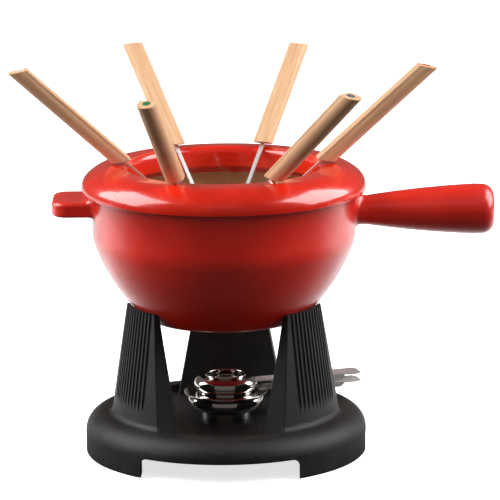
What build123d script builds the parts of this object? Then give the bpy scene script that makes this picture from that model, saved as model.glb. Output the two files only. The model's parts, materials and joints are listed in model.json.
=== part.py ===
from build123d import *
import os
from math import cos, radians, sin, sqrt, tan

# Fondue pot set: an enamelled cast pot with a splash ring and six forks, on a cast stand over a burner.
# Millimetres. The origin is on the surface the feet stand on, in the middle of the stand. +Z is up, and
# the pot's long handle points along +X.

# Stand base
base_radius = 111.0
skirt_height = 17.5
shoulder_radius = 15.0
recess_radius = 87.0
recess_depth = 5.5
recess_slope = 3.0
floor_thickness = 6.0
arch_width = 123.0
arch_height = 16.0
arch_corner = 5.0
foot_depth = 13.0
foot_edge = 1.5
stand_turn = -3.2
deck_height = skirt_height + shoulder_radius
floor_height = deck_height - recess_depth

# Stand legs
leg_count = 3
leg_inner_radius = 73.0
leg_base_radius = 90.0
leg_base_width = 82.0
leg_top_radius = 77.8
leg_top_width = 49.0
leg_top_height = 121.5
leg_corner = 1.2
leg_root = 5.0
flute_count = 11
flute_pitch = 3.15
flute_radius = 1.6
flute_depth = 1.45
flute_tip = 8.0
flute_point = 0.05
flute_start = 10.5

# Pot
rim_height = 210.0
rim_radius = 107.5
rim_edge = 1.2
flare_height = 28.0
flare_fullness = 0.25
waist_radius = 103.2
pot_wall = 4.5
pot_floor = 5.5
pot_floor_height = 108.0
bowl_arc = 154.5
bowl_centre_radius = -43.1
bowl_centre_height = 221.2
bowl_shoulder_blend = 30.0
bowl_bottom_blend = 9.0
pot_seat_gap = 0.4

# Long handle, turned about an axis along +X
handle_height = 192.0
handle_root_x = 112.0
handle_root_radius = 11.6
handle_mid_x = 150.0
handle_mid_radius = 16.4
handle_big_x = 196.0
handle_big_radius = 19.8
handle_end_x = 212.0
handle_end_radius = 19.2
handle_end_edge = 9.5
handle_blend = 4.0

# Helper handle, a flat tab along -X
tab_reach = 134.5
tab_width = 52.0
tab_height = 192.5
tab_thickness = 12.0
tab_corner = 12.0
tab_edge = 3.0
tab_root = 13.5
tab_blend = 5.0

# Splash ring
ring_inner_radius = 74.4
ring_outer_radius = 111.8
ring_rise = 19.2
ring_crown_radius = 87.8
ring_shell = 5.0
ring_skirt = 3.5
ring_skirt_drop = 3.4
ring_inner_edge = 5.0
ring_web = 4.0
ring_belly_height = 1.3
spigot_drop = 5.0
spigot_thickness = 3.5
spigot_gap = 0.6

# Forks: where each one leans on the ring, where it points, and its slope, in degrees
fork_places = [
    (2.9, 4.2, 41.8),
    (66.0, 68.8, 37.9),
    (119.2, 115.0, 40.4),
    (175.0, 185.4, 42.4),
    (241.8, 256.1, 41.6),
    (299.7, 314.6, 41.9),
]
fork_seat_radius = 78.4
fork_seat_gap = 0.9
grip_length = 108.7
grip_width = 13.4
grip_above = 4.7
grip_below = 7.9
grip_side = 2.6
grip_corner = 1.2
grip_end_edge = 0.4
grip_end_slant = 36.0
steel_width = 3.0
steel_thickness = 1.8
steel_length = 165.0
tang_length = 32.0
tine_length = 27.0
tine_width = 1.5
tine_gap = 2.2
tine_barb = 0.7
tine_point = 4.0
barb_height = 8.0
barb_step = 1.0
marker_radius = 3.0
marker_depth = 5.0
marker_proud = 0.2

# Burner, turned about Z, standing on the recessed floor
sheet = 0.8
foot_ring_radius = 21.0
foot_ring_height = 6.4
foot_bead = 1.0
cup_neck_radius = 24.0
cup_belly_radius = 30.0
cup_belly_height = 12.0
cup_height = 19.0
cup_mouth_radius = 24.0
flange_bore = 20.5
flange_thickness = 1.0
flange_edge = 0.45
pad_radius = 19.5
pad_thickness = 10.0
pad_edge = 1.5
gauze_thickness = 0.8
throttle_radius = 21.5
hub_bore = 8.0
hub_height = 4.0
hub_clearance = 0.08
slot_count = 6
slot_length = 5.0
slot_width = 4.0
slot_circle = 16.5
dome_foot_radius = 22.6
dome_belly_bulge = 2.2
dome_belly_rise = 3.5
dome_gap = 0.3
dome_height = 9.4
collar_radius = 15.6
collar_height = 2.6
collar_bead = 0.7
lever_azimuth = 17.5
lever_reach = 111.5
lever_root_width = 13.0
lever_root_gap = 0.8
lever_tip_width = 18.6
lever_side_depth = 3.2
lever_side_start = 35.0
lever_side_end = 97.0
lever_tip_chamfer = 3.0
lever_step = 6.3
rivet_radius = 1.6
rivet_head_radius = 2.6
rivet_head_height = 0.9
rivet_inset = 3.4
rivet_spacing = 6.4
flange_margin = 3.8

# What follows from the burner's sizes: the levers start outside the dome, with the rivets just beyond
dome_belly_radius = dome_foot_radius + dome_belly_bulge
lever_root_radius = dome_belly_radius + lever_root_gap
rivet_circle = lever_root_radius + rivet_inset
flange_radius = rivet_circle + flange_margin


def spin(face):
    """A turned solid from a face drawn as radius and height."""
    return revolve(Plane.XZ * face, Axis.Z)


def spin_outline(*points):
    """A turned solid from a straight-sided outline of radius and height."""
    return spin(make_face(Polyline(*points, close=True)))


def nearest(shapes, *points):
    """The vertices or edges closest to each point."""
    return [shapes.sort_by_distance(point)[0] for point in points]


def turned(shape, azimuth):
    return Rot(0, 0, azimuth) * shape


# Pot ---------------------------------------------------------------------------------------------

def bowl_radius(height, inset=0.0):
    """The bowl's radius at a height, a wall's thickness further in where an inset is given."""
    return bowl_centre_radius + sqrt((bowl_arc - inset) ** 2 - (height - bowl_centre_height) ** 2)


def bowl_shoulder_height(inset=0.0):
    """Where the bowl's long curve meets the straight wall above it."""
    reach = waist_radius - inset - bowl_centre_radius
    return bowl_centre_height - sqrt((bowl_arc - inset) ** 2 - reach ** 2)


def bowl_curve(inset, low):
    """The bowl's long curve from the straight wall down to a height."""
    high = bowl_shoulder_height(inset)
    middle = (high + low) / 2
    return ThreePointArc(
        (waist_radius - inset, high), (bowl_radius(middle, inset), middle), (bowl_radius(low, inset), low)
    )


def pot_outside(gap=0.0):
    """The pot's turned outside as a full solid, grown by a gap where one is given."""
    low = pot_floor_height - gap
    flare_low = rim_height - flare_height
    waist = waist_radius + gap
    rim = rim_radius + gap
    flare_middle = (waist + (rim - waist) * flare_fullness, (flare_low + rim_height) / 2)
    face = make_face([
        Line((0, low), (bowl_radius(low, -gap), low)),
        bowl_curve(-gap, low),
        Line((waist, bowl_shoulder_height(-gap)), (waist, flare_low)),
        ThreePointArc((waist, flare_low), flare_middle, (rim, rim_height)),
        Line((rim, rim_height), (0, rim_height)),
        Line((0, rim_height), (0, low)),
    ])
    shoulder = nearest(face.vertices(), (waist, bowl_shoulder_height(-gap)))
    face = fillet(shoulder, bowl_shoulder_blend)
    corner = nearest(face.vertices(), (bowl_radius(low, -gap), low))
    face = fillet(corner, bowl_bottom_blend)
    face = fillet(nearest(face.vertices(), (rim, rim_height)), rim_edge)
    return spin(face)


def pot_inside():
    low = pot_floor_height + pot_floor
    high = bowl_shoulder_height(pot_wall)
    face = make_face([
        Line((0, low), (bowl_radius(low, pot_wall), low)),
        bowl_curve(pot_wall, low),
        Line((waist_radius - pot_wall, high), (waist_radius - pot_wall, rim_height)),
        Line((waist_radius - pot_wall, rim_height), (0, rim_height)),
        Line((0, rim_height), (0, low)),
    ])
    shoulder = nearest(face.vertices(), (waist_radius - pot_wall, high))
    face = fillet(shoulder, bowl_shoulder_blend - pot_wall)
    corner = nearest(face.vertices(), (bowl_radius(low, pot_wall), low))
    face = fillet(corner, bowl_bottom_blend)
    return spin(face)


def long_handle():
    """The tapered handle, turned about its own axis and reaching into the wall."""
    root = (waist_radius - pot_wall, handle_root_radius)
    outline = [
        Line((root[0], 0), root),
        Line(root, (handle_root_x, handle_root_radius)),
        ThreePointArc(
            (handle_root_x, handle_root_radius),
            (handle_mid_x, handle_mid_radius),
            (handle_big_x, handle_big_radius),
        ),
        Line((handle_big_x, handle_big_radius), (handle_end_x, handle_end_radius)),
        Line((handle_end_x, handle_end_radius), (handle_end_x, 0)),
        Line((handle_end_x, 0), (root[0], 0)),
    ]
    face = make_face(outline)
    face = fillet(nearest(face.vertices(), (handle_end_x, handle_end_radius)), handle_end_edge)
    return Pos(0, 0, handle_height) * revolve(Plane.XZ * face, Axis.X)


def helper_handle():
    """The flat tab opposite the long handle, with rounded corners and edges."""
    reach_in = waist_radius - tab_root
    length = tab_reach - reach_in
    plan = Pos(-reach_in - length / 2, 0) * Rectangle(length, tab_width)
    outer = plan.vertices().sort_by(Axis.X)[:2]
    plan = fillet(outer, tab_corner)
    tab = extrude(Pos(0, 0, tab_height) * plan, tab_thickness)
    rims = tab.faces().filter_by(Axis.Z).edges()
    rims = rims.filter_by(lambda edge: edge.center().X < -reach_in - 1)
    return fillet(rims, tab_edge)


def wall_joints(body, side):
    """The edges where a handle meets the outside of the bowl, on one side of the pot."""
    return body.edges().filter_by(
        lambda edge: edge.center().X * side > 0
        and tab_height - 2 * tab_thickness < edge.center().Z < rim_height - 1
        and sqrt(edge.center().X ** 2 + edge.center().Y ** 2) < rim_radius
        and edge.length < tab_width + tab_thickness
        and edge.geom_type != GeomType.LINE
    )


def pot_casting():
    body = pot_outside() + long_handle() + helper_handle()
    body = fillet(wall_joints(body, 1), handle_blend)
    body = fillet(wall_joints(body, -1), tab_blend)
    return body - pot_inside()


# Splash ring -------------------------------------------------------------------------------------

def crown_curve(shell):
    """The ring's quarter-ellipse top from its widest point to its crown, a shell's thickness further in."""
    across = ring_outer_radius - ring_crown_radius - shell
    belly = rim_height + ring_belly_height
    up = rim_height + ring_rise - belly - shell
    widest = (ring_crown_radius + across, belly)
    middle = (ring_crown_radius + across * sqrt(0.5), belly + up * sqrt(0.5))
    crown = (ring_crown_radius, belly + up)
    return Spline(widest, middle, crown, tangents=[(0, 1), (-1, 0)])


def splash_ring():
    """A hollow rounded ring: crown, inner skirt, and a web with a spigot that locates in the pot."""
    crown_top = rim_height + ring_rise
    skirt_low = rim_height + ring_skirt_drop
    skirt_back = ring_inner_radius + ring_skirt
    belly = rim_height + ring_belly_height
    spigot_outer = waist_radius - pot_wall - spigot_gap
    spigot_inner = spigot_outer - spigot_thickness
    spigot_low = rim_height - spigot_drop
    web_top = rim_height + ring_web
    hollow_radius = ring_outer_radius - ring_shell
    face = make_face([
        crown_curve(0),
        Line((ring_crown_radius, crown_top), (ring_inner_radius, crown_top)),
        Line((ring_inner_radius, crown_top), (ring_inner_radius, skirt_low)),
        Line((ring_inner_radius, skirt_low), (skirt_back, skirt_low)),
        Line((skirt_back, skirt_low), (skirt_back, crown_top - ring_shell)),
        Line((skirt_back, crown_top - ring_shell), (ring_crown_radius, crown_top - ring_shell)),
        crown_curve(ring_shell),
        Line((hollow_radius, belly), (hollow_radius, rim_height)),
        Line((hollow_radius, rim_height), (ring_outer_radius, rim_height)),
        Line((ring_outer_radius, rim_height), (ring_outer_radius, belly)),
    ])
    face = fillet(nearest(face.vertices(), (ring_inner_radius, crown_top)), ring_inner_edge)
    web_reach = ring_outer_radius - ring_shell / 2
    web = spin_outline(
        (spigot_inner, spigot_low), (spigot_outer, spigot_low), (spigot_outer, rim_height),
        (web_reach, rim_height), (web_reach, web_top), (spigot_inner, web_top)
    )
    ring = spin(face) + web
    bottom = ring.edges().filter_by(GeomType.CIRCLE).filter_by_position(
        Axis.Z, rim_height - 0.01, rim_height + 0.01
    )
    return fillet(bottom.sort_by(SortBy.LENGTH)[-1:], rim_edge)


# Forks -------------------------------------------------------------------------------------------

def fork_frame(place):
    """A frame on a fork: its origin is where its axis leaves the grip's lower end, +Z runs up the grip
    and +Y faces its flat top. The lowest corner of the slanted end rests on the ring's crown."""
    contact, heading, slope = (radians(angle) for angle in place)
    along = Vector(cos(slope) * cos(heading), cos(slope) * sin(heading), sin(slope))
    upward = Vector(-sin(slope) * cos(heading), -sin(slope) * sin(heading), cos(slope))
    corner = grip_below * (cos(slope) - sin(slope) * tan(radians(grip_end_slant)))
    seat = rim_height + ring_rise + fork_seat_gap + corner
    origin = Vector(fork_seat_radius * cos(contact), fork_seat_radius * sin(contact), seat)
    return Plane(origin=origin, x_dir=upward.cross(along), z_dir=along)


def grip_outline():
    """A wide D: flat on top, a short straight side, and a full belly underneath."""
    half = grip_width / 2
    top = grip_above
    side = grip_above - grip_side
    face = make_face([
        Line((-half, side), (-half, top)),
        Line((-half, top), (half, top)),
        Line((half, top), (half, side)),
        ThreePointArc((half, side), (0, -grip_below), (-half, side)),
    ])
    return fillet(nearest(face.vertices(), (-half, top), (half, top)), grip_corner)


def between_slants(low, high):
    """Everything between two slanted cuts that cross the fork's axis at the two heights."""
    rise = grip_width * tan(radians(grip_end_slant))
    side = make_face(Polyline(
        (-grip_width, low + rise), (grip_width, low - rise),
        (grip_width, high - rise), (-grip_width, high + rise), close=True
    ))
    return extrude(Plane.YZ * side, grip_width, both=True)


def fork_grip():
    stock = Pos(0, 0, -grip_width) * extrude(grip_outline(), grip_length + 2 * grip_width)
    grip = stock & between_slants(0, grip_length)
    ends = grip.faces().filter_by(lambda face: abs(face.normal_at().Z) > 0.5).edges()
    return fillet(ends, grip_end_edge) - fork_steel() - fork_marker()


def fork_steel():
    """A flat bar with two barbed tines at its tip and a tang that is driven into the grip."""
    fork_half = tine_gap / 2 + tine_width
    tip = -steel_length
    crotch = tip + tine_length
    shoulder = crotch + 2 * fork_half
    outline = Polyline(
        (0, tang_length), (steel_width / 2, tang_length), (steel_width / 2, shoulder),
        (fork_half, crotch + tine_gap), (fork_half, tip + barb_height),
        (fork_half + tine_barb, tip + barb_height + barb_step), (fork_half - tine_width / 2, tip),
        (tine_gap / 2, tip + tine_point), (tine_gap / 2, crotch),
        (0, crotch + tine_gap / 2), close=True
    )
    half = make_face(outline)
    blade = extrude(Plane.XZ * (half + mirror(half, Plane.YZ)), steel_thickness / 2, both=True)
    return blade


def fork_marker():
    """The coloured plug, its end slanted like the grip's and standing slightly proud of it."""
    plug = Pos(0, 0, grip_length) * Cylinder(marker_radius, 2 * grip_width)
    return plug & between_slants(grip_length - marker_depth, grip_length + marker_proud)


def forks():
    nodes = {}
    for number, place in enumerate(fork_places, start=1):
        spot = fork_frame(place).location
        nodes[f"fork_{number}_grip"] = spot * fork_grip()
        nodes[f"fork_{number}_steel"] = spot * fork_steel()
        nodes[f"fork_{number}_marker"] = spot * fork_marker()
    return nodes


# Burner ------------------------------------------------------------------------------------------

def cup_base():
    """The burner's foot: a shallow inverted dish with a rolled bead round its top."""
    outer = foot_ring_radius
    dish = spin_outline(
        (0, foot_ring_height - sheet), (outer - 2 * foot_bead, foot_ring_height - sheet),
        (outer - 2 * foot_bead, 0), (outer - foot_bead, 0), (outer - foot_bead, foot_ring_height),
        (0, foot_ring_height)
    )
    bead = Pos(0, 0, foot_ring_height - foot_bead) * Torus(outer - foot_bead, foot_bead)
    return dish + bead


def belly_profile(foot, belly, mouth):
    """The profile of a thin spun shell whose outside is an arc through three points."""
    outer = ThreePointArc(foot, belly, mouth)
    centre = outer.arc_center
    foot_in, belly_in, mouth_in = (
        Vector(point) + (centre - Vector(point)).normalized() * sheet for point in (foot, belly, mouth)
    )
    inner = ThreePointArc(foot_in, belly_in, mouth_in)
    return make_face([outer, Line(mouth, mouth_in), inner, Line(foot_in, foot)])


def fuel_cup():
    """The fuel cup: a bulged shell with a flat bottom, standing on the foot."""
    low = foot_ring_height
    shell = spin(belly_profile(
        (cup_neck_radius, low), (cup_belly_radius, cup_belly_height), (cup_mouth_radius, cup_height)
    ))
    bottom = Pos(0, 0, low) * extrude(Circle(cup_neck_radius), sheet)
    return shell + bottom


def wadding_pad():
    low = foot_ring_height + sheet
    return fillet((Pos(0, 0, low) * extrude(Circle(pad_radius), pad_thickness)).edges(), pad_edge)


def wire_gauze():
    low = foot_ring_height + sheet + pad_thickness
    return Pos(0, 0, low) * extrude(Circle(pad_radius), gauze_thickness)


def flange_disc():
    """The round handling flange clamped on the cup's mouth, drilled for its lever's rivets."""
    disc = extrude(Circle(flange_radius) - Circle(flange_bore), flange_thickness)
    disc = fillet(disc.edges().group_by(SortBy.LENGTH)[-1], flange_edge)
    return Pos(0, 0, cup_height) * disc - rivet_shanks()


def slots():
    """The flame slots, evenly spaced round the hub."""
    return PolarLocations(slot_circle, slot_count) * Rectangle(slot_width, slot_length)


def throttle_plate():
    """The fixed slotted plate on the flange, with a hub that the regulator turns on."""
    low = cup_height + flange_thickness
    plate = extrude(Circle(throttle_radius) - Circle(hub_bore) - slots(), sheet)
    hub = extrude(Circle(hub_bore + sheet) - Circle(hub_bore), hub_height)
    return Pos(0, 0, low) * (plate + hub)


def dome_levels():
    """The heights of the regulator's foot, its widest point, its shoulder and the top of its collar."""
    low = cup_height + flange_thickness + sheet + dome_gap
    high = low + dome_height
    return low, low + dome_belly_rise, high, high + collar_height


def dome_outline():
    """The three points that the outside of the regulator's dome passes through."""
    low, widest, high, top = dome_levels()
    return (dome_foot_radius, low), (dome_belly_radius, widest), (collar_radius - sheet / 2, high)


def regulator_dome():
    """The turning regulator: a slotted plate on the hub, a bulged dome and a collar with a rolled edge."""
    low, widest, high, top = dome_levels()
    hole = hub_bore + sheet + hub_clearance
    plate = extrude(Circle(dome_foot_radius - sheet / 2) - Circle(hole) - slots(), sheet)
    middle = collar_radius - sheet / 2
    collar = Pos(middle, (high - sheet + top) / 2) * Rectangle(sheet, top - high + sheet)
    bead = Pos(middle, top) * Circle(collar_bead)
    return Pos(0, 0, low) * plate + spin(belly_profile(*dome_outline()) + collar + bead)


def lever_plan(root, inset=0.0):
    """The lever's outline from above, widening from its root to a tip with cut corners."""
    start = lever_root_width / 2 - inset
    end = lever_tip_width / 2 - inset
    reach = lever_reach - inset
    cut = lever_tip_chamfer
    return make_face(Polyline(
        (root, -start), (reach - cut, -end), (reach, cut - end), (reach, end - cut),
        (reach - cut, end), (root, start), close=True
    ))


def lever(root):
    """A pressed lever: a flat top with sides turned down along its middle."""
    top = extrude(lever_plan(root), sheet)
    rim = extrude(lever_plan(root) - lever_plan(root, sheet), -lever_side_depth)
    slope = lever_side_depth
    side = make_face(Polyline(
        (lever_side_start, 0), (lever_side_end, 0), (lever_side_end - slope, -lever_side_depth),
        (lever_side_start + slope, -lever_side_depth), close=True
    ))
    return top + (rim & extrude(Plane.XZ * side, lever_tip_width, both=True))


def at_rivets(shape):
    """Copies of a shape at the rivets that hold the flange's lever."""
    spots = [Pos(rivet_circle, side * rivet_spacing / 2) * shape for side in (-1, 1)]
    return [turned(spot, lever_azimuth) for spot in spots]


def rivet_shanks():
    low = cup_height
    high = cup_height + flange_thickness + sheet
    return at_rivets(Pos(0, 0, low) * extrude(Circle(rivet_radius), high - low))


def flange_lever():
    low = cup_height + flange_thickness
    shape = Pos(0, 0, low) * lever(lever_root_radius)
    return turned(shape, lever_azimuth) - rivet_shanks()


def flange_rivets():
    """Two rivets through the lever and the flange, as separate solids in one node."""
    low = cup_height
    high = cup_height + flange_thickness + sheet
    head = Cone(rivet_head_radius, rivet_radius, rivet_head_height, align=(Align.CENTER,) * 2 + (Align.MIN,))
    rivet = Pos(0, 0, low) * extrude(Circle(rivet_radius), high - low)
    rivet = rivet + Pos(0, 0, high) * head + Pos(0, 0, low) * (Rot(180, 0, 0) * head)
    first, second = at_rivets(rivet)
    return first + second


def regulator_lever():
    """The lever welded to the side of the regulator's dome, one step above the flange's lever."""
    shape = Pos(0, 0, cup_height + flange_thickness + lever_step) * lever(collar_radius)
    foot, widest, mouth = dome_outline()
    core = spin(make_face([
        ThreePointArc(foot, widest, mouth), Line(mouth, (0, mouth[1])),
        Line((0, mouth[1]), (0, foot[1])), Line((0, foot[1]), foot)
    ]))
    return turned(shape, lever_azimuth) - core


def burner():
    """The burner's pieces, standing on the stand's recessed floor."""
    pieces = {
        "burner_foot": cup_base(),
        "fuel_cup": fuel_cup(),
        "wadding_pad": wadding_pad(),
        "wire_gauze": wire_gauze(),
        "burner_flange": flange_disc(),
        "flange_lever": flange_lever(),
        "flange_rivets": flange_rivets(),
        "throttle_plate": throttle_plate(),
        "regulator_dome": regulator_dome(),
        "regulator_lever": regulator_lever(),
    }
    return {name: Pos(0, 0, floor_height) * shape for name, shape in pieces.items()}


# Stand -------------------------------------------------------------------------------------------

def leg_azimuths():
    return [90 + stand_turn + 360 / leg_count * index for index in range(leg_count)]


def leg_radius(height):
    """The radius of a leg's sloping outer face at a height."""
    run = (height - deck_height) / (leg_top_height - deck_height)
    return leg_base_radius + (leg_top_radius - leg_base_radius) * run


def base_casting():
    """The turned base: skirt, rounded shoulder, deck and a recessed floor, hollow underneath."""
    skirt_inner = base_radius - foot_depth
    ceiling = floor_height - floor_thickness
    face = make_face([
        Line((skirt_inner, 0), (base_radius, 0)),
        Line((base_radius, 0), (base_radius, skirt_height)),
        RadiusArc(
            (base_radius, skirt_height), (base_radius - shoulder_radius, deck_height), -shoulder_radius
        ),
        Line((base_radius - shoulder_radius, deck_height), (recess_radius, deck_height)),
        Line((recess_radius, deck_height), (recess_radius - recess_slope, floor_height)),
        Line((recess_radius - recess_slope, floor_height), (0, floor_height)),
        Line((0, floor_height), (0, ceiling)),
        Line((0, ceiling), (skirt_inner, ceiling)),
        Line((skirt_inner, ceiling), (skirt_inner, 0)),
    ])
    face = fillet(nearest(face.vertices(), (base_radius, 0), (skirt_inner, 0)), foot_edge)
    face = fillet(nearest(
        face.vertices(), (recess_radius, deck_height), (recess_radius - recess_slope, floor_height)
    ), foot_edge)
    return spin(face) - arches()


def arches():
    """The three low arches in the skirt, between the feet."""
    face = Rectangle(arch_width, 2 * arch_height)
    face = fillet(face.vertices().group_by(Axis.Y)[-1], arch_corner)
    arch = extrude(Plane.YZ * face, base_radius * 2)
    return [turned(arch, azimuth + 180 / leg_count) for azimuth in leg_azimuths()]


def leg():
    """One leg pointing along +X: a tapered stretch of a conical wall, blended into the deck at its root."""
    low = floor_height - floor_thickness / 2
    wall = spin_outline(
        (leg_inner_radius, low), (leg_radius(low), low),
        (leg_top_radius, leg_top_height), (leg_inner_radius, leg_top_height)
    )
    spread = (leg_base_width - leg_top_width) / (leg_top_height - deck_height)
    low_width = leg_base_width + spread * (deck_height - low)
    face = make_face(Polyline(
        (-low_width / 2, low), (low_width / 2, low),
        (leg_top_width / 2, leg_top_height), (-leg_top_width / 2, leg_top_height), close=True
    ))
    shape = wall & extrude(Plane.YZ * face, base_radius)
    corners = shape.edges().filter_by(lambda edge: edge.bounding_box().size.Z > deck_height)
    shape = fillet(corners, leg_corner)
    return shape + leg_blend(shape)


def leg_blend(shape):
    """The fillet between a leg's outside and the deck, up to the rim of the recess."""
    plate = Pos(leg_base_radius, 0, deck_height - base_radius) * Box(*(2 * base_radius,) * 3)
    joined = shape + plate
    middle = Vector(leg_base_radius, 0, deck_height)
    roots = joined.edges().filter_by_position(Axis.Z, deck_height - 0.01, deck_height + 0.01)
    roots = roots.filter_by(lambda edge: (edge.center() - middle).length < base_radius / 2)
    blended = fillet(roots, leg_root) - plate
    return blended - Cylinder(recess_radius + foot_edge, 2 * leg_top_height)


def flutes():
    """The cutters for one leg's flutes: round grooves that run out to a point near the foot."""
    lean = Vector(leg_top_radius - leg_base_radius, 0, leg_top_height - deck_height).normalized()
    outward = Vector(lean.Z, 0, -lean.X)
    start_height = deck_height + flute_start + flute_tip
    axis_start = Vector(leg_radius(start_height), 0, start_height)
    axis_start = axis_start + outward * (flute_radius - flute_depth)
    spot = Plane(origin=axis_start, z_dir=lean)
    bottom = (Align.CENTER, Align.CENTER, Align.MIN)
    groove = Cylinder(flute_radius, leg_top_height, align=bottom)
    tip = Rot(180, 0, 0) * Cone(flute_radius, flute_point, flute_tip, align=bottom)
    cutter = spot * (groove + tip)
    middle = (flute_count - 1) / 2
    return [turned(cutter, flute_pitch * (index - middle)) for index in range(flute_count)]


def stand_casting():
    """The stand in one casting: base, three legs blended into it, and a seat for the bowl."""
    body = base_casting() + [turned(leg(), azimuth) for azimuth in leg_azimuths()]
    body = body - pot_outside(pot_seat_gap)
    cutters = flutes()
    return body - [turned(cutter, azimuth) for azimuth in leg_azimuths() for cutter in cutters]


def build(nodes):
    os.makedirs("parts", exist_ok=True)
    for name, shape in nodes.items():
        shape.label = name
        export_step(shape, f"parts/{name}.step")


build({
    "stand_casting": stand_casting(),
    "pot_casting": pot_casting(),
    "splash_ring": splash_ring(),
    **forks(),
    **burner(),
})
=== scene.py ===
import json
from math import cos, pi, radians, sin, tau

import bpy
from mathutils import Euler, Matrix, Vector, noise


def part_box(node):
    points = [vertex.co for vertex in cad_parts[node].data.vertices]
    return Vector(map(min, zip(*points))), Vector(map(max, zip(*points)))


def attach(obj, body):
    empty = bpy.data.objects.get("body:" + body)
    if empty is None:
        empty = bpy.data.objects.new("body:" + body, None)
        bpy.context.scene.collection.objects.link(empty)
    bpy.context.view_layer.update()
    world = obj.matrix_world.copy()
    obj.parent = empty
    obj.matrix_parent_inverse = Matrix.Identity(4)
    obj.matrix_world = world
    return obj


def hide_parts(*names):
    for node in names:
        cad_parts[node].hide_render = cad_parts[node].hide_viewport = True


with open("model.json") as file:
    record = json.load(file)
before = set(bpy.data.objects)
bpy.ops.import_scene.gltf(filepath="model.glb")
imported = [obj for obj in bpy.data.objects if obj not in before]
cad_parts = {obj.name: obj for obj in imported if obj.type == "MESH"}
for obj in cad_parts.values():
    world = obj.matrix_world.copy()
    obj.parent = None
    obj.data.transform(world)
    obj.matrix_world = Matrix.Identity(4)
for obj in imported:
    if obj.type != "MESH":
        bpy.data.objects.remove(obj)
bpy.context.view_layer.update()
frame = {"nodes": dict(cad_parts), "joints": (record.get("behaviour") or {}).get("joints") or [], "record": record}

# Fondue pot set: black cast stand, red enamelled pot and splash ring, six beech-handled forks, steel burner.
# Metres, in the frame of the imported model: +Z is up, and the pot's long handle points along +X.

MM = 0.001


# Shader helper -----------------------------------------------------------------------------------

class Surface:
    """One procedural material: adds nodes, sets or links their sockets and feeds the Principled shader."""

    def __init__(self, name):
        self.material = bpy.data.materials.new(name)
        self.material.use_nodes = True
        self.tree = self.material.node_tree
        self.shader = self.tree.nodes["Principled BSDF"]
        self.place = self.add("TexCoord").outputs["Object"]

    def put(self, socket, value):
        if isinstance(value, bpy.types.NodeSocket):
            self.tree.links.new(value, socket)
        elif socket.type == "RGBA":
            socket.default_value = (*value, 1.0)
        else:
            socket.default_value = value

    def add(self, kind, settings=(), **inputs):
        node = self.tree.nodes.new("ShaderNode" + kind)
        for name, value in dict(settings).items():
            setattr(node, name, value)
        for name, value in inputs.items():
            self.put(node.inputs[name.replace("_", " ")], value)
        return node

    def math(self, operation, first, second=0.0):
        node = self.add("Math", {"operation": operation})
        self.put(node.inputs[0], first)
        self.put(node.inputs[1], second)
        return node.outputs[0]

    def noise(self, size, detail=2.0, roughness=0.5, place=None):
        """Noise whose features are about this many millimetres across."""
        node = self.add(
            "TexNoise", Vector=place or self.place, Scale=1 / (size * MM), Detail=detail, Roughness=roughness
        )
        return node.outputs["Fac"]

    def spots(self, size, place=None):
        """The distance to the nearest of many scattered points, about this many millimetres apart."""
        node = self.add("TexVoronoi", Vector=place or self.place, Scale=1 / (size * MM))
        return node.outputs["Distance"]

    def range(self, value, low, high, to_low=0.0, to_high=1.0, smooth=False):
        node = self.add("MapRange", {"interpolation_type": "SMOOTHSTEP"} if smooth else ())
        self.put(node.inputs["Value"], value)
        for name, number in zip(("From Min", "From Max", "To Min", "To Max"), (low, high, to_low, to_high)):
            self.put(node.inputs[name], number)
        return node.outputs["Result"]

    def blend(self, factor, first, second):
        node = self.add("Mix", {"data_type": "RGBA"})
        self.put(node.inputs[0], factor)
        self.put(node.inputs[6], first)
        self.put(node.inputs[7], second)
        return node.outputs[2]

    def bump(self, height, depth, strength=1.0, under=None):
        """A bump whose full height is this many millimetres."""
        node = self.add("Bump", Height=height, Distance=depth * MM, Strength=strength)
        if under:
            self.put(node.inputs["Normal"], under)
        return node.outputs["Normal"]

    def finish(self, **inputs):
        for name, value in inputs.items():
            self.put(self.shader.inputs[name.replace("_", " ")], value)
        return self.material


# Materials ---------------------------------------------------------------------------------------

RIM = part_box("splash_ring")[0].z
SEAM_BAND = 22 * MM
RED = (0.78, 0.017, 0.0035)
DEEP_RED = (0.64, 0.010, 0.0025)
POT_DULLNESS = 0.14
SLOTS = {row["node"]: row["material_slot"] for row in frame["record"]["subparts"]}


def enamel(name, colour, deep, dull=0.0):
    """Vitreous enamel over cast iron: gloss or satin, orange peel, a coarser skin under the rim, specks."""
    s = Surface(name)
    height = s.add("SeparateXYZ", Vector=s.place).outputs["Z"]
    band = s.range(height, RIM - SEAM_BAND, RIM, smooth=True)
    peel = s.noise(2.2, 3.0)
    skin = s.noise(0.7, 2.0)
    depth = s.range(band, 0, 1, 0.10, 0.55)
    soft = s.bump(peel, 0.05, 0.35)
    rough = s.bump(skin, 0.06, depth, soft)
    cloud = s.range(s.noise(38, 3.0), 0.35, 0.7)
    specks = s.range(s.spots(2.4), 0.05, 0.10, 1.0, 0.0)
    worn = s.math("MULTIPLY", specks, s.range(s.noise(9), 0.52, 0.62))
    tone = s.blend(cloud, colour, deep)
    tone = s.blend(s.math("MULTIPLY", worn, 0.35), tone, tuple(c * 0.45 for c in colour))
    gloss = s.range(s.noise(14, 3.0), 0.3, 0.7, 0.20 + dull, 0.30 + dull)
    return s.finish(
        Base_Color=tone, Roughness=gloss, Normal=rough, Coat_Weight=0.85, Coat_Roughness=0.08 + dull,
        Coat_Normal=soft
    )


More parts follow.
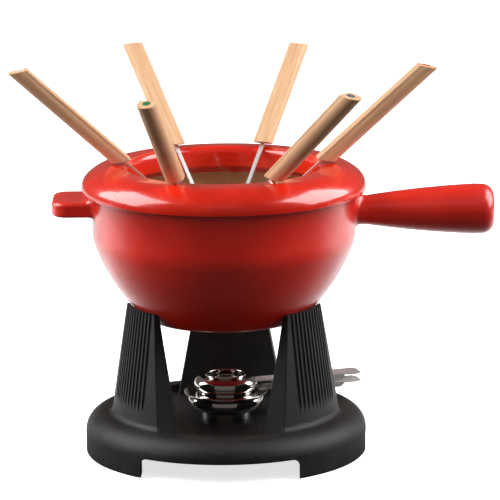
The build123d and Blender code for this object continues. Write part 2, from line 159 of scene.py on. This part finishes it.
def cast_black():
    """Matt black enamel on rough cast iron, with sandy grains and a few paler rubbed grains."""
    s = Surface("cast_black")
    grain = s.noise(0.9, 3.0, 0.6)
    lumps = s.noise(5.0, 2.0)
    pits = s.range(s.spots(1.6), 0.0, 0.35)
    normal = s.bump(lumps, 0.14, 0.7)
    normal = s.bump(pits, 0.10, 0.5, normal)
    normal = s.bump(grain, 0.42, 1.0, normal)
    rubbed = s.math("MULTIPLY", s.range(grain, 0.58, 0.72), s.range(s.noise(30), 0.4, 0.65))
    tone = s.blend(s.range(s.noise(22, 3.0), 0.3, 0.7), (0.0075, 0.0075, 0.0075), (0.013, 0.0125, 0.012))
    tone = s.blend(rubbed, tone, (0.055, 0.053, 0.051))
    return s.finish(
        Base_Color=tone, Roughness=s.range(grain, 0.3, 0.7, 0.38, 0.54), Normal=normal,
        Specular_IOR_Level=0.34
    )


def beech(name, frame_matrix):
    """Oiled beech with its grain along the grip: pale bands, darker pores as short dashes, soft flecks."""
    s = Surface(name)
    spot, turn, _ = frame_matrix.decompose()
    local = s.add(
        "Mapping", {"vector_type": "TEXTURE"}, Vector=s.place, Location=spot, Rotation=turn.to_euler()
    ).outputs[0]
    along = s.add("Mapping", Vector=local, Scale=(1, 1, 0.055)).outputs[0]
    dashes = s.add("Mapping", Vector=local, Scale=(1, 1, 0.16)).outputs[0]
    bands = s.noise(3.2, 4.0, 0.6, along)
    fibre = s.noise(0.55, 3.0, 0.6, along)
    pores = s.range(s.spots(1.1, dashes), 0.06, 0.16, 1.0, 0.0)
    pores = s.math("MULTIPLY", pores, s.range(s.noise(5, 2.0, 0.5, along), 0.4, 0.6))
    tone = s.blend(s.range(bands, 0.3, 0.7), (0.80, 0.54, 0.33), (0.66, 0.37, 0.20))
    tone = s.blend(s.range(fibre, 0.45, 0.75, 0.0, 0.5), tone, (0.50, 0.25, 0.12))
    tone = s.blend(s.math("MULTIPLY", pores, 0.6), tone, (0.30, 0.15, 0.07))
    height = s.math("SUBTRACT", fibre, s.math("MULTIPLY", pores, 0.8))
    return s.finish(
        Base_Color=tone, Roughness=s.range(fibre, 0.3, 0.7, 0.40, 0.56), Normal=s.bump(height, 0.08, 0.6),
        Specular_IOR_Level=0.25
    )


def steel(name, tone, roughness, grain):
    """Stainless steel: a mirror with faint polishing scratches and a few smears."""
    s = Surface(name)
    scratches = s.add("Mapping", Vector=s.place, Scale=(1, 0.08, 1)).outputs[0]
    fine = s.noise(0.35, 2.0, 0.6, scratches)
    smears = s.range(s.noise(9, 3.0), 0.4, 0.7)
    streaks = s.range(fine, 0.3, 0.7, roughness, roughness * 1.8)
    gloss = s.math("ADD", streaks, s.math("MULTIPLY", smears, 0.05))
    colour = s.blend(smears, tone, tuple(c * 0.9 for c in tone))
    return s.finish(Base_Color=colour, Metallic=1.0, Roughness=gloss, Normal=s.bump(fine, 0.01, grain))


def plastic(name, colour):
    """Glossy marker plastic with a faint moulded texture."""
    s = Surface(name)
    cloud = s.range(s.noise(1.5, 3.0), 0.35, 0.65)
    tone = s.blend(cloud, colour, tuple(c * 0.8 for c in colour))
    moulded = s.bump(s.noise(0.4), 0.01, 0.5)
    return s.finish(Base_Color=tone, Roughness=s.range(cloud, 0, 1, 0.22, 0.34), Normal=moulded)


def wadding():
    """Loose mineral fibre, off-white, with painted shade in its hollows: darker where the fibre bump is low."""
    s = Surface("wadding")
    threads = s.add("Mapping", Vector=s.place, Scale=(1, 0.25, 1)).outputs[0]
    fibre = s.noise(0.8, 4.0, 0.7, threads)
    # Painted shade: the noise that raises the fibres also darkens the colour in the low hollows between them.
    tone = s.blend(s.range(fibre, 0.3, 0.7), (0.62, 0.58, 0.50), (0.86, 0.84, 0.79))
    return s.finish(Base_Color=tone, Roughness=0.95, Normal=s.bump(fibre, 0.4, 0.9), Sheen_Weight=0.3)


# Forks -------------------------------------------------------------------------------------------

def fork_frame(number):
    """A frame on a fork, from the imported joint: the origin is the grip's middle and +Z runs up the grip."""
    joint = next(j for j in frame["joints"] if j["name"] == f"fork_{number}_pull")
    along = Vector(joint["axis"]).normalized()
    low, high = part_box(f"fork_{number}_grip")
    across = Vector((0, 0, 1)).cross(along).normalized()
    upward = along.cross(across)
    turn = Matrix((across, upward, along)).transposed().to_4x4()
    return Matrix.Translation((low + high) / 2) @ turn


# Burner's filling --------------------------------------------------------------------------------

def mesh_piece(name, points, faces, material, body, node):
    """A Blender piece that stands for a CAD node, riding on that node's body."""
    mesh = bpy.data.meshes.new(name)
    mesh.from_pydata(points, [], faces)
    mesh.polygons.foreach_set("use_smooth", [True] * len(mesh.polygons))
    mesh.materials.append(material)
    mesh.validate()
    piece = bpy.data.objects.new(name, mesh)
    bpy.context.scene.collection.objects.link(piece)
    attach(piece, body)
    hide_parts(node)
    return piece


WIRE_PITCH = 1.5 * MM
WIRE_SIDES = 5
WIRE_STEPS = 4


def wire(points, radius, vertices, faces):
    """Adds one closed wire that follows the points, its sides lined up with the vertical."""
    start = len(vertices)
    for index, point in enumerate(points):
        ahead = points[min(index + 1, len(points) - 1)] - points[max(index - 1, 0)]
        side = ahead.cross(Vector((0, 0, 1))).normalized()
        up = side.cross(ahead).normalized()
        for step in range(WIRE_SIDES):
            angle = tau * step / WIRE_SIDES
            vertices.append(point + radius * (cos(angle) * side + sin(angle) * up))
    for index in range(len(points) - 1):
        for step in range(WIRE_SIDES):
            a = start + index * WIRE_SIDES + step
            b = start + index * WIRE_SIDES + (step + 1) % WIRE_SIDES
            faces.append((a, b, b + WIRE_SIDES, a + WIRE_SIDES))
    faces.append(tuple(start + step for step in reversed(range(WIRE_SIDES))))
    last = start + (len(points) - 1) * WIRE_SIDES
    faces.append(tuple(last + step for step in range(WIRE_SIDES)))


def wire_gauze(material):
    """Plain-woven wire cut to a disc: each wire passes over and under its neighbours."""
    low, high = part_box("wire_gauze")
    middle = (low + high) / 2
    radius = (high.x - low.x) / 2
    thickness = (high.z - low.z) / 4.2
    vertices, faces = [], []
    count = int(radius / WIRE_PITCH)
    for crossing in (False, True):
        for index in range(-count, count + 1):
            offset = index * WIRE_PITCH
            reach = (max(radius ** 2 - offset ** 2, 0)) ** 0.5 - thickness
            if reach < WIRE_PITCH:
                continue
            steps = max(2, int(2 * reach / WIRE_PITCH * WIRE_STEPS))
            line = []
            for step in range(steps + 1):
                run = -reach + 2 * reach * step / steps
                wave = cos(pi * run / WIRE_PITCH) * (-1) ** index * (1 if crossing else -1)
                flat = (run, offset) if crossing else (offset, run)
                line.append(middle + Vector((*flat, wave * thickness)))
            wire(line, thickness, vertices, faces)
    return mesh_piece(
        "wire_gauze_weave", vertices, faces, material, "burner", "wire_gauze"
    )


def wadding_pad(material):
    """The pad as a lumpy cushion of fibre, full at its edge and dimpled on top."""
    low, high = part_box("wadding_pad")
    middle = (low + high) / 2
    half = (high - low) / 2
    rings, around = 36, 96
    vertices = []
    for ring in range(rings + 1):
        tilt = pi * ring / rings
        for step in range(around):
            angle = tau * step / around
            flat = abs(sin(tilt)) ** 0.35
            tall = abs(cos(tilt)) ** 0.5 * (1 if tilt < pi / 2 else -1)
            point = Vector((flat * cos(angle) * half.x, flat * sin(angle) * half.y, tall * half.z))
            tuft = 0.5 + 0.5 * noise.fractal(point / (3.5 * MM), 1.0, 2.2, 4)
            vertices.append(middle + point * (1 - 0.07 * min(max(tuft, 0), 1)))
    faces = [
        (
            ring * around + step, (ring + 1) * around + step,
            (ring + 1) * around + (step + 1) % around, ring * around + (step + 1) % around
        )
        for ring in range(rings) for step in range(around)
    ]
    return mesh_piece("wadding_fibre", vertices, faces, material, "burner", "wadding_pad")


# Dressing the CAD nodes --------------------------------------------------------------------------

def dress(node, *materials):
    mesh = frame["nodes"][node].data
    mesh.materials.clear()
    for material in materials:
        mesh.materials.append(material)


def dress_pot(outside, inside):
    """Red enamel outside and sand enamel on every face that looks inwards, below the rim."""
    dress("pot_casting", outside, inside)
    node = frame["nodes"]["pot_casting"]
    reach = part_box("splash_ring")[1].x
    for face in node.data.polygons:
        flat = Vector((face.center.x, face.center.y, 0))
        within = flat.length < reach and face.normal.dot(flat.normalized()) < -0.05
        floor = face.normal.z > 0.7 and face.center.z < RIM - SEAM_BAND and flat.length < 0.8 * reach
        face.material_index = int(within and face.normal.z > -0.3 or floor)


def dress_all():
    red = enamel("red_enamel", RED, DEEP_RED)
    sand = enamel("sand_enamel", (0.62, 0.41, 0.22), (0.54, 0.34, 0.17))
    dress("stand_casting", cast_black())
    dress_pot(enamel("satin_red_enamel", RED, DEEP_RED, POT_DULLNESS), sand)
    dress("splash_ring", red)
    # Painted light: the shafts' steel tone is raised near white so the shafts look lit, rather than taking the
    # tone of the steel itself.
    shaft = steel("bright_steel", (0.94, 0.93, 0.92), 0.30, 0.6)
    polished = steel("polished_steel", (0.66, 0.64, 0.62), 0.05, 0.25)
    # Painted light: a brightened copy of the burner's polished steel, its tone raised near white so the levers
    # look lit; the extra roughness is a real brushed finish.
    brushed_brightened = steel("brushed_brightened_lever_steel", (0.95, 0.94, 0.93), 0.34, 0.6)
    colours = {m["slot"]: m["base_color"] for m in frame["record"]["materials"]}
    for number in range(1, 7):
        dress(f"fork_{number}_grip", beech(f"beech_{number}", fork_frame(number)))
        dress(f"fork_{number}_steel", shaft)
        marker = SLOTS[f"fork_{number}_marker"]
        dress(f"fork_{number}_marker", plastic(marker, tuple(colours[marker][:3])))
    for node, slot in SLOTS.items():
        if slot == "polished_steel":
            dress(node, brushed_brightened if "lever" in node else polished)
    wire_gauze(steel("gauze_steel", (0.45, 0.44, 0.42), 0.28, 0.5))
    wadding_pad(wadding())


# Studio ------------------------------------------------------------------------------------------

def studio_floor():
    """A pale floor that glows to the camera; in reflections it is pale beside and behind the object only."""
    half = 12.0
    mesh = bpy.data.meshes.new("studio_floor")
    corners = [(-half, -half, 0), (half, -half, 0), (half, half, 0), (-half, half, 0)]
    mesh.from_pydata(corners, [], [(0, 1, 2, 3)])
    s = Surface("studio_floor")
    depth = s.add("SeparateXYZ", Vector=s.place).outputs["Y"]
    seen = s.add("LightPath").outputs["Is Camera Ray"]
    shade = s.range(depth, -0.12, 0.30, 0.0, 1.0, smooth=True)
    tone = s.blend(shade, (0.05, 0.05, 0.05), (0.92, 0.92, 0.92))
    tone = s.blend(seen, tone, (0.93, 0.93, 0.93))
    s.finish(
        Base_Color=tone, Roughness=0.9, Specular_IOR_Level=0.1, Emission_Color=(1.0, 1.0, 1.0),
        Emission_Strength=s.math("MULTIPLY", seen, s.range(depth, 0.0, 1.2, 0.72, 0.90))
    )
    mesh.materials.append(s.material)
    floor = bpy.data.objects.new("studio_floor", mesh)
    bpy.context.scene.collection.objects.link(floor)


def studio_world():
    """A dim room: the light comes from the softboxes."""
    world = bpy.data.worlds.new("studio")
    bpy.context.scene.world = world
    world.use_nodes = True
    background = world.node_tree.nodes["Background"]
    background.inputs["Color"].default_value = (1.0, 0.87, 0.76, 1)
    background.inputs["Strength"].default_value = 0.14


def softbox(name, place, aim, size, power):
    """A soft rectangular lamp at a place, turned towards a point."""
    light = bpy.data.lights.new(name, "AREA")
    light.shape = "RECTANGLE"
    light.size, light.size_y = size
    light.energy = power
    lamp = bpy.data.objects.new(name, light)
    lamp.location = place
    lamp.rotation_euler = (Vector(aim) - Vector(place)).to_track_quat("-Z", "Y").to_euler()
    bpy.context.scene.collection.objects.link(lamp)
    return lamp


def camera():
    """A long lens at the photograph's angle: 13 degrees down, level but for half a degree of roll."""
    elevation, distance, roll = radians(13.0), 3.0, radians(-0.52)
    stand_middle = Vector((0, 0, 0.12))
    aim = Vector((0.0202, 0, 0.1605))
    data = bpy.data.cameras.new("camera")
    data.sensor_width = 36.0
    data.lens = 273.7
    data.clip_end = 60.0
    lens = bpy.data.objects.new("camera", data)
    lens.location = stand_middle + distance * Vector((0, -cos(elevation), sin(elevation)))
    look = (aim - lens.location).to_track_quat("-Z", "Y")
    lens.rotation_euler = (look @ Euler((0, 0, roll)).to_quaternion()).to_euler()
    bpy.context.scene.collection.objects.link(lens)
    bpy.context.scene.camera = lens


def studio():
    """Two big softboxes at the sides and a weak front fill that reflections don't show."""
    studio_floor()
    studio_world()
    softbox("left", (-1.5, 0.12, 1.15), (0, 0, 0.15), (1.7, 1.6), 50)
    softbox("right", (1.5, 0.12, 1.15), (0, 0, 0.15), (1.7, 1.6), 50)
    fill = softbox("fill", (0, -2.0, 1.9), (0, 0, 0.15), (1.4, 1.4), 9)
    fill.visible_glossy = False
    bpy.context.scene.view_settings.view_transform = "Standard"
    camera()


dress_all()
studio()
